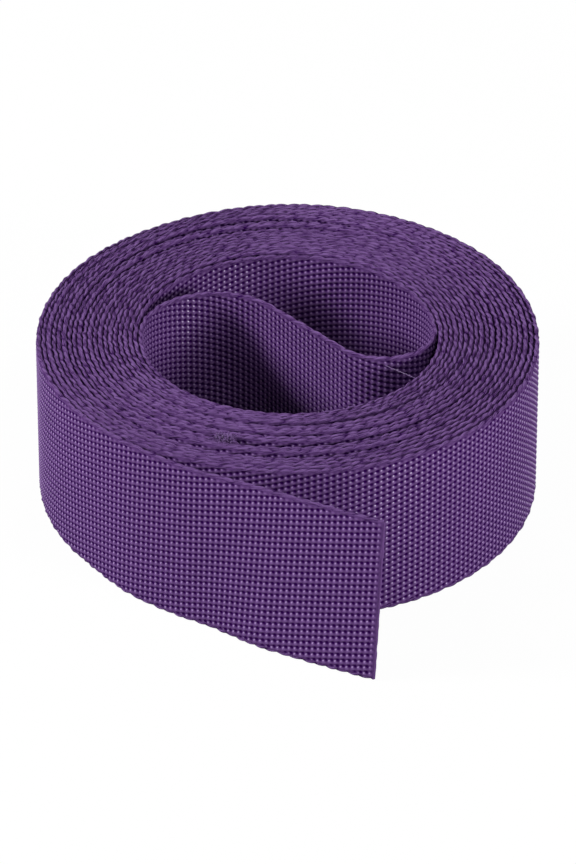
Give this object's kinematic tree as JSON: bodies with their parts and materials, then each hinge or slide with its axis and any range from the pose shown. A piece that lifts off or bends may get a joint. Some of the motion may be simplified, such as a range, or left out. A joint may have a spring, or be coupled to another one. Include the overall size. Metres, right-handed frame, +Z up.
{
  "type": "rolled flat webbing strap",
  "caption": "Flat woven webbing strap, folded at its middle and wound into a roll that stands on its edge, with a free tail that peels off the outside.",
  "frame": {"origin": "on the floor, under the middle of the box that holds the roll and its tail", "axes": "+Z up along the roll's axis, -Y towards the tail, +X to the right as the tail points"},
  "size_m": [0.1428, 0.1714, 0.05],
  "materials": {
    "woven_webbing": "semi-matt woven synthetic yarn, purple, with raised ribs and a corded edge"
  },
  "bodies": {
    "roll": {"wound_strap": "woven_webbing"},
    "tail_near": {"tail_root": "woven_webbing"},
    "tail_far": {"tail_tip": "woven_webbing"}
  },
  "joints": [
    {"name": "tail_peel", "type": "hinge", "parent": "roll", "child": "tail_near", "pos_m": [-0.05755, -0.02775, 0.025], "axis": [0, 0, -1], "range_deg": [0, 70]},
    {"name": "tail_flap", "type": "hinge", "parent": "tail_near", "child": "tail_far", "pos_m": [-0.02974, -0.05338, 0.025], "axis": [0, 0, -1], "range_deg": [-16, 60]}
  ]
}
